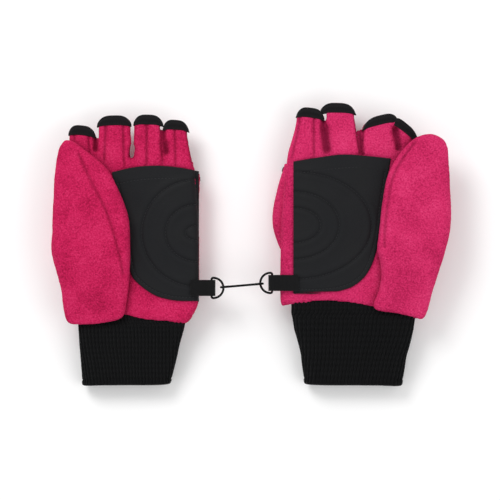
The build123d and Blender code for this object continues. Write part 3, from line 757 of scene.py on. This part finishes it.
def finger_edging(glove, finger):
    """Knit edging round a fingertip: up the outside, over a soft lip and down inside."""
    name, end, sink = finger[0], finger[5], finger[7]
    low, high = glove.box("middle_finger")
    low[2] += SLACK
    tall = high[2] - low[2]
    # distance along the finger from its end, and how far the edging stands out from the fleece
    profile = [(-BINDING, -0.5), (-BINDING, 0.1), (-BINDING + 0.5, PROUD), (-BINDING * 0.5, PROUD + 0.12),
               (-1.2, PROUD), (-0.35, PROUD - 0.35), (0.0, -0.6), (-0.3, -WALL + 0.1), (-1.2, -WALL - 0.3),
               (-6.5, -WALL - 0.35), (-7, -WALL + 0.3)]
    count = 88
    rows = []
    for back, out in profile:
        v = end + back
        middle, width = finger_line(finger, np.array(v), glove.knuckle)
        ring, outward = slot_ring(float(width), tall, count)
        under = np.where(outward[:, 1] < -0.2, 0.3, 1.0) if out > 0 else np.ones(count)
        spots = ring + outward * (out * under)[:, None]
        u = float(middle) + spots[:, 0]
        rounded = finger_end(finger, spots[:, 0], float(width)) - end
        leaning = finger[6] * spots[:, 0]
        share = step_up(np.array(back), -BINDING, -1.0) if out > -WALL + 0.2 else 0.85
        along = v + leaning + (0.25 + 0.75 * share) * (rounded - leaning)
        level = (low[2] + high[2]) / 2 - sink + lie(u, along) + spots[:, 1]
        rows.append(np.stack([u, along, level], axis=1))
    points = np.vstack(rows)
    faces = strip_faces(len(rows), count, closed=True)
    glove.add(f"{name}_edging", points, faces, EDGING, slot="knit_binding", replaces=(f"{name}_binding",),
              uv=strip_uv(len(rows), count))


def hood_edging(glove):
    """Knit edging over the lip of the hood's palm side, from one side seam round to the other."""
    lip = glove.box("hood_binding")[1][1] - glove.y
    tall = glove.box("hood_back_panel")[1][2] - 0.3
    seam_z = tall / 2
    curve = smooth_curve(glove.shape["hood"])
    edge = HOOD_EDGE
    # distance from the lip, and how far the edging stands out from the fleece
    lip_profile = [(-4.0, -0.4), (-4.0, 0.15), (-3.5, 0.45), (-2.2, 0.5), (-0.8, 0.42), (-0.1, 0.0),
                   (0.05, -0.9), (-0.1, -1.8), (-0.8, -2.0), (-3.5, -2.1), (-4.0, -2.0), (-4.0, -1.5)]
    around = 72
    rows = []
    for back, out in lip_profile:
        v = lip + back
        sides = [float(np.interp(v, *zip(*sorted((b, a) for a, b in half.tolist()))))
                 for half in (curve[curve[:, 0] < -20], curve[curve[:, 0] > 20])]
        turn = np.linspace(0, pi / 2, 14)
        inner_left, inner_right, lift = sides[0] + edge, sides[1] - edge, HOOD_LIFT + edge
        # points of the section and their outward directions, down one side and up the other
        section = [(sides[0], seam_z, -1.0, 0.0)]
        for a in turn:
            across, up = -np.cos(a), -np.sin(a)
            section.append((inner_left + edge * across, lift + edge * up, across, up))
        flat = np.linspace(inner_left, inner_right, around - 28)[1:-1]
        section += [(u, HOOD_LIFT, 0.0, -1.0) for u in flat]
        for a in turn:
            across, up = np.sin(a), -np.cos(a)
            section.append((inner_right + edge * across, lift + edge * up, across, up))
        section.append((sides[1], seam_z, 1.0, 0.0))
        section = np.array(section)
        spots = section[:, :2] + section[:, 2:] * out
        rows.append(np.stack([spots[:, 0], np.full(len(spots), v), np.maximum(spots[:, 1], 0.04)], axis=1))
    columns = len(rows[0])
    grid = np.stack(rows)
    faces = strip_faces(len(rows), columns)
    last = (len(rows) - 1) * columns
    faces += [(last + c, last + c + 1, c + 1, c) for c in range(columns - 1)]
    faces.append(tuple(r * columns for r in range(len(rows))))
    faces.append(tuple(r * columns + columns - 1 for r in reversed(range(len(rows)))))
    glove.add("hood_edging", grid.reshape(-1, 3), faces, HOOD_EDGING, body=glove.hood, slot="knit_binding",
              replaces=("hood_binding",), uv=strip_uv(len(rows), columns))


def fastener(glove, node, body, hooks):
    """A rectangle of hook or loop tape with rounded corners, sewn down all round."""
    low, high = glove.box(node)
    us = sorted(glove.hand * (x - glove.x) for x in (low[0], high[0]))
    half_u, half_v = (us[1] - us[0]) / 2, (high[1] - low[1]) / 2
    middle_u, middle_v = sum(us) / 2, (low[1] + high[1]) / 2 - glove.y
    # the face that shows, and the face sunk into the fleece behind it
    face, back, facing = (high[2], low[2] - 1.4, 1) if hooks else (low[2], high[2] + 0.7, -1)
    count_u, count_v = int(half_u * 5), int(half_v * 5)
    u, v = np.meshgrid(np.linspace(-half_u, half_u, count_u), np.linspace(-half_v, half_v, count_v))
    corner = 3.0
    over = np.hypot(np.maximum(np.abs(u) - half_u + corner, 0), np.maximum(np.abs(v) - half_v + corner, 0))
    squeeze = np.where(over > corner, corner / np.maximum(over, 1e-6), 1)
    u = np.where(over > corner, np.sign(u) * (half_u - corner + (np.abs(u) - half_u + corner) * squeeze), u)
    v = np.where(over > corner, np.sign(v) * (half_v - corner + (np.abs(v) - half_v + corner) * squeeze), v)
    rim = np.minimum(half_u - np.abs(u), half_v - np.abs(v))
    rim = np.minimum(rim, corner - np.minimum(over, corner))
    inside = step_up(rim, 1.9, 2.5)
    if hooks:
        tuft = (0.5 + 0.5 * np.sin(u * 4.2)) * (0.5 + 0.5 * np.sin(v * 4.2))
    else:
        tuft = 0.5 + 0.3 * noise(u, v, 0 * u, 0.9) + 0.2 * noise(u + 30, v, 0 * u, 2.4)
    depth = 0.5 - inside * (0.1 + 0.38 * tuft) + 0.5 * (1 - step_up(rim, 0.0, 0.7))
    top = np.stack([middle_u + u, middle_v + v, face - facing * depth], axis=2).reshape(-1, 3)
    bottom = top * np.array([1, 1, 0]) + np.array([0, 0, back])
    n = len(top)
    quads = strip_faces(count_v, count_u)
    walls = side_walls(count_v, count_u, n)
    faces = quads + [tuple(i + n for i in f[::-1]) for f in quads] + walls
    if not hooks:
        faces = [f[::-1] for f in faces]
    kind, material = ("hook", HOOKS) if hooks else ("loop", LOOPS)
    slot = f"{kind}_fastener"
    points = np.vstack([top, bottom])
    glove.add(f"{kind}_tape", points, faces, material, body=body, slot=slot, replaces=(node,))
    a, b = half_u - 1.3, half_v - 1.3
    line = [(a, -b), (a, b), (-a, b), (-a, -b), (a, -b)]
    dense = np.vstack([np.linspace(p, q, 24) for p, q in zip(line[:-1], line[1:])]) + (middle_u, middle_v)
    sink = 0.28
    stitches(glove, f"{kind}_stitching", dense, lambda p, q: 0 * p + face - facing * sink, BLACK_THREAD,
             long=1.7, gap=0.7, thick=0.2, body=body, slot=slot, facing=facing)


def cuff(glove):
    """Rib-knit cuff: a tube of ribs, narrowing to a doubled lip that rests on the surface."""
    length = glove.y - glove.box("rib_cuff")[0][1] + 1.0
    hem_tall = 18.0  # thickness of the cuff at its lip
    ribs, per_rib = 62, 7
    count = ribs * per_rib
    middles, widths, places = zip(*glove.shape["cuff"])
    # steps along the cuff: down the outside, round the lip, and back up inside
    outside = np.concatenate([np.linspace(-0.24, 0.1, 20), np.linspace(0.125, 1, 36)])
    path = [(t, 0.0) for t in outside] + [(1.012, -0.5), (1.016, -1.2), (1.008, -2.0)]
    path += [(t, -2.4) for t in np.linspace(0.98, -0.22, 26)]
    rows = []
    for t, out in path:
        s = float(np.clip(t, 0, 1))
        width = float(np.interp(s, places, widths))
        middle = float(np.interp(s, places, middles))
        top_tall = glove.height - 1.4
        tuck = 3.4 * (1 - step_up(np.array(t), -0.02, 0.09))
        tall = top_tall + (hem_tall - top_tall) * s**1.2 - tuck
        level = glove.middle + (hem_tall / 2 - glove.middle) * s + 1.0 * np.sin(pi * s)
        ring, outward = slot_ring(width, tall, count)
        phase = np.arange(count) / per_rib * 2 * pi
        fuller = 0.35 + 0.65 * step_up(np.array(abs(1 - t)), 0.0, 0.05)
        rib = 0.55 * np.clip(np.cos(phase) * 1.5, -1, 1) * fuller
        fold = 0.45 * np.exp(-(((t - 0.93) / 0.02) ** 2)) if out == 0 else 0
        bulge = 0.5 * (t > 0.93) * (out == 0)
        spots = ring + outward * (out + rib + bulge - fold)[:, None]
        drift = 0.8 * np.sin(2.2 * s + glove.hand)
        none = 0 * spots[:, 0]
        u = middle + drift + spots[:, 0] + 0.5 * noise(spots[:, 0], none + 40 * s, none, 14.0)
        v = -t * length + 0.7 * noise(spots[:, 0], 0 * spots[:, 0], spots[:, 1], 18.0) * s
        z = level + spots[:, 1]
        rows.append(np.stack([u, v, np.maximum(z, 0.05)], axis=1))
    points = np.vstack(rows)
    return glove.add("knit_cuff", points, strip_faces(len(rows), count, closed=True), RIB, slot="rib_knit",
                     replaces=("rib_cuff",), uv=strip_uv(len(rows), count))


def stitches(glove, name, curve, level, material, long, gap, thick, body=None, slot="grip_patch", facing=1):
    """A row of sewn stitches that follows a curve of (u, v) over a surface."""
    curve = np.asarray(curve, float)
    lengths = np.concatenate([[0], np.cumsum(np.linalg.norm(np.diff(curve, axis=0), axis=1))])
    points, faces = [], []
    sides, rings = 6, 5
    start = 0.6
    while start + long < lengths[-1]:
        base = len(points)
        for i in range(rings):
            t = i / (rings - 1)
            s = start + long * t
            u, v = np.interp(s, lengths, curve[:, 0]), np.interp(s, lengths, curve[:, 1])
            ahead = np.interp(s + 0.1, lengths, curve[:, 0]) - u, np.interp(s + 0.1, lengths, curve[:, 1]) - v
            size = max(np.hypot(*ahead), 1e-6)
            side = (-ahead[1] / size, ahead[0] / size)
            hump = np.sin(pi * t)
            radius = thick * (0.45 + 0.55 * hump**0.5)
            height = float(level(np.array([u]), np.array([v]))[0]) + facing * (0.22 * hump - 0.12)
            for k in range(sides):
                a = 2 * pi * k / sides
                out = radius * np.cos(a)
                points.append((u + side[0] * out, v + side[1] * out, height + radius * np.sin(a)))
        for i in range(rings - 1):
            for k in range(sides):
                a, b = base + i * sides + k, base + i * sides + (k + 1) % sides
                faces.append((a, b, b + sides, a + sides))
        faces.append(tuple(range(base + sides - 1, base - 1, -1)))
        faces.append(tuple(range(base + (rings - 1) * sides, base + rings * sides)))
        start += long + gap
    return glove.add(name, points, faces, material, body=body, slot=slot)


def patch(glove):
    """Grip patch: a sheet over the palm with quilted arcs, an edge seam and a turned top hem."""
    shape = glove.shape
    top = smooth_curve(shape["patch_top"])
    inner = smooth_curve(shape["patch_inner"])[::-1]
    outer = shape["patch_outer"]
    rows, columns = 170, 100
    lowest = inner[:, 1].min()
    level_at = lambda u, v: palm_level(glove, u, np.minimum(v, glove.knuckle - 9))

    def across(v):
        """u of the patch's thumb-side edge at each v, below its top corner."""
        order = np.argsort(inner[:, 1])
        return np.interp(v, inner[order, 1], inner[order, 0])

    t = np.linspace(0, 1, rows)[:, None]
    s = np.linspace(0, 1, columns)[None, :]
    crown = np.interp(np.linspace(0, 1, columns), np.linspace(0, 1, len(top)), top[:, 1])[None, :]
    v = lowest + (crown - lowest) * t
    reach = across(np.minimum(v, shape["patch_inner"][0][1]))
    u = outer + (reach - outer) * s
    arcs = quilting(shape, outer)
    groove = np.zeros(u.shape)
    for arc in arcs:
        away = distance_to(arc, u, v)
        groove += np.exp(-((away / 1.0) ** 2)) - 0.4 * np.exp(-(((away - 3.4) / 2.4) ** 2))
    edge = distance_to(np.vstack([inner[::-1]]), u, v)
    edge_seam = np.exp(-(((edge - 3.2) / 0.7) ** 2)) * (v < crown - 6)
    hem = step_up(v, crown - 11.5, crown - 10.5)
    hem_seam = np.exp(-(((v - crown + 10.2) / 0.6) ** 2))
    z = level_at(u, v) + 1.15 - 0.75 * groove - 0.4 * edge_seam + 0.35 * hem - 0.45 * hem_seam
    z = z - 0.5 * np.exp(-edge / 0.8)
    lift = 0.35 * (1 + np.sin(u / 9.0 + 1.0)) * step_up(v, crown - 9, crown)
    z = z + lift
    room = glove.palm_z + 1.12
    z = z - np.maximum(z - room, 0) * step_up(v, glove.knuckle - 10, glove.knuckle - 1)
    upper = np.stack([u, v, z], axis=2).reshape(-1, 3)
    lower = upper - np.array([0, 0, 0.9])
    points = np.vstack([upper, lower])
    faces = [f[::-1] for f in strip_faces(rows, columns)]
    under = [tuple(i + len(upper) for i in f[::-1]) for f in faces]
    sides = side_walls(rows, columns, len(upper))
    faces = [f[::-1] for f in faces] + [f[::-1] for f in under] + sides
    glove.add("grip_patch", points, faces, GRIP, slot="grip_patch", replaces=("palm_patch",))
    surface = lambda a, b: level_at(a, b) + 0.62
    for number, arc in enumerate(arcs):
        stitches(glove, f"quilting_{number}", arc, surface, BLACK_THREAD, long=1.9, gap=0.8, thick=0.2)
    inset = inner.copy()
    ahead = np.gradient(inset, axis=0)
    ahead /= np.linalg.norm(ahead, axis=1)[:, None]
    inset += np.stack([-ahead[:, 1], ahead[:, 0]], axis=1) * 3.2
    inset = inset[(inset[:, 0] > outer + 1.5) & (inset[:, 1] < glove.knuckle - 5)]
    stitches(glove, "patch_edge_stitching", inset, lambda a, b: level_at(a, b) + 0.78, BLACK_THREAD,
             long=2.0, gap=0.8, thick=0.22)
    hem_line = top - np.array([0, 10.2])
    stitches(glove, "patch_hem_stitching", hem_line, lambda a, b: level_at(a, b) + 1.0, BLACK_THREAD,
             long=2.0, gap=0.8, thick=0.22)


def quilting(shape, outer):
    """Three nested arcs that spring from the patch's outer edge."""
    left = shape is LEFT
    if left:
        middle, radii = 71.0, ((10, 6), (26, 23), (45, 43))
    else:
        middle, radii = 69.0, ((21, 14), (36, 27), (62, 43))
    arcs = []
    for reach, half in radii:
        angle = np.linspace(-pi / 2, pi / 2, 40)
        arcs.append(np.stack([outer + 0.8 + reach * np.cos(angle), middle + half * np.sin(angle)], axis=1))
    return arcs


def tab(glove):
    """Webbing tab folded round the D-ring's bar, its ends sewn down beside the patch."""
    low, high = glove.box("side_tab")
    middle_z = (low[2] + high[2]) / 2
    half = (high[1] - low[1]) / 2
    v_middle = (low[1] + high[1]) / 2 - glove.y
    us = sorted(glove.hand * (x - glove.x) for x in (low[0], high[0]))
    tip, root = us[0], us[1]
    radius = (high[2] - low[2]) / 2
    eye = tip + radius
    strap = 1.1
    path = [(root + 1.0, strap - 0.05)]
    path += [(u, strap) for u in np.linspace(root, eye, 16)]
    rise = lambda u: (radius - strap) * step_up(np.array(root - u), root - eye - 4, root - eye)
    path[-4:] = [(u, strap + rise(u)) for u, _ in path[-4:]]
    path += [(eye - radius * np.sin(a), radius * np.cos(a)) for a in np.linspace(0.15, pi - 0.15, 14)]
    path += [(u, -z) for u, z in reversed(path[:17])]
    thick = 0.9
    columns = 13
    rows_out, rows_in = [], []
    route = np.array(path)
    ahead = np.gradient(route, axis=0)
    ahead /= np.linalg.norm(ahead, axis=1)[:, None]
    normal = np.stack([ahead[:, 1], -ahead[:, 0]], axis=1)
    for (u, z), (nu, nz) in zip(route, normal):
        for rows, depth in ((rows_out, 0.0), (rows_in, thick)):
            for c in range(columns):
                w = -half + 2 * half * c / (columns - 1)
                rows.append((u + nu * depth, v_middle + w, middle_z + z + nz * depth))
    points = np.array(rows_out + rows_in)
    n = len(rows_out)
    outer = strip_faces(len(path), columns)
    inner = [tuple(i + n for i in f[::-1]) for f in outer]
    sides = [(a, d, c, b) for a, b, c, d in side_walls(len(path), columns, n)]
    uv = strip_uv(len(path), columns)
    uv = [(b * 2.2, a) for a, b in uv]
    faces = outer + inner + sides
    glove.add("webbing_tab", points, faces, WEBBING, slot="webbing", replaces=("side_tab",), uv=uv + uv)
    level = lambda a, b: 0 * a + middle_z + strap
    near, far = root - 1.2, root - 5.2
    low_v, high_v = v_middle - half + 1.6, v_middle + half - 1.6
    box = [(near, low_v), (near, high_v), (far, high_v), (far, low_v), (near, low_v)]
    dense = np.vstack([np.linspace(a, b, 12) for a, b in zip(box[:-1], box[1:])])
    stitches(glove, "tab_stitching", dense, level, BLACK_THREAD, long=1.5, gap=0.5, thick=0.2, slot="webbing")


# ---------------------------------------------------------------- putting it together

gloves = (Glove("left", -1, LEFT), Glove("right", 1, RIGHT))
for glove in gloves:
    glove_shell(glove)
    thumb(glove)
    hood(glove)
    knuckle_seam(glove)
    hood_edging(glove)
    fastener(glove, "hook_patch", glove.hood, True)
    fastener(glove, "loop_patch", glove.body, False)
    for finger in glove.shape["fingers"]:
        finger_edging(glove, finger)
    cuff(glove)
    patch(glove)
    tab(glove)

for node in ("ring_link", "left_d_ring", "right_d_ring"):
    for slot in bpy.data.objects[node].material_slots:
        slot.material = WIRE


def studio():
    """Pale floor, soft even light, and a camera straight above."""
    floor_mesh = bpy.data.meshes.new("floor")
    size = 3.0
    corners = [(x * size, y * size, -0.0004) for x, y in ((-1, -1), (1, -1), (1, 1), (-1, 1))]
    floor_mesh.from_pydata(corners, [], [(0, 1, 2, 3)])
    floor = bpy.data.objects.new("floor", floor_mesh)
    bpy.context.scene.collection.objects.link(floor)
    n = Nodes("pale_floor")
    floor.data.materials.append(n.finish(rgb(252, 252, 252), 0.9, Specular_IOR_Level=0.1))
    world = bpy.data.worlds.new("studio")
    world.use_nodes = True
    world.node_tree.nodes["Background"].inputs["Color"].default_value = (1, 1, 1, 1)
    world.node_tree.nodes["Background"].inputs["Strength"].default_value = 0.72
    bpy.context.scene.world = world
    lamps = (("key", (-0.6, 0.8, 1.1), 9.5, 0.6), ("fill", (0.8, -0.3, 1.1), 3.5, 0.9))
    for name, place, power, spread in lamps:
        lamp = bpy.data.lights.new(name, "AREA")
        lamp.energy, lamp.size = power, spread
        light = bpy.data.objects.new(name, lamp)
        light.location = place
        light.rotation_euler = (Vector((0, 0, 0)) - Vector(place)).to_track_quat("-Z", "Y").to_euler()
        bpy.context.scene.collection.objects.link(light)
    camera_data = bpy.data.cameras.new("camera")
    camera = bpy.data.objects.new("camera", camera_data)
    distance = 1.6
    view_width = 0.4
    camera_data.sensor_width = 36.0
    camera_data.lens = 36.0 * (distance - 0.03) / view_width
    camera.location = (0.0, -0.0045, distance)
    camera.rotation_euler = (0, 0, 0)
    bpy.context.scene.collection.objects.link(camera)
    bpy.context.scene.camera = camera
    bpy.context.scene.view_settings.view_transform = "Standard"


studio()
